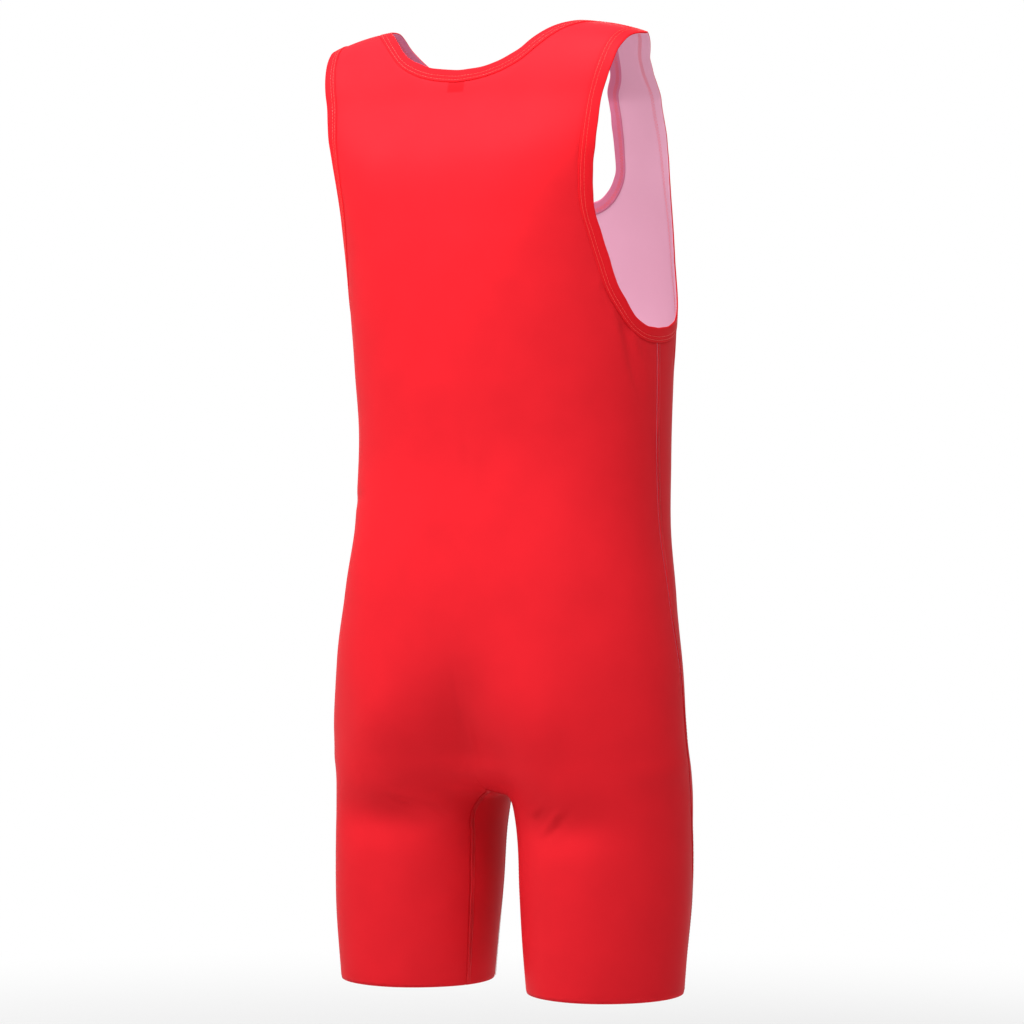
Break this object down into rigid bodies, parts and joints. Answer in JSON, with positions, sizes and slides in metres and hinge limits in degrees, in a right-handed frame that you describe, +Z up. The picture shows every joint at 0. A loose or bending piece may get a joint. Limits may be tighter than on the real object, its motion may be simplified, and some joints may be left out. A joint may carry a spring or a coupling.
{
  "type": "wrestling singlet",
  "caption": "Sleeveless one-piece wrestling singlet in worn, hollow form, with shoulder straps, scooped neck, deep armholes and short legs.",
  "frame": {"origin": "midway between the two shoulder seams, where the wearer's shoulders hold the garment up", "axes": "+Z up, the front faces -Y, the wearer's left is +X"},
  "size_m": [0.3428, 0.2416, 0.8475],
  "materials": {
    "cloth": "smooth fine knit with a soft satin sheen",
    "binding": "the same knit, folded and cover stitched",
    "label": "plain woven tape, blank"
  },
  "bodies": {
    "root": {"back_panel": "cloth", "front_panel": "cloth", "gusset": "cloth", "neck_binding": "binding", "armhole_binding_left": "binding", "armhole_binding_right": "binding", "neck_label": "label"}
  },
  "joints": []
}
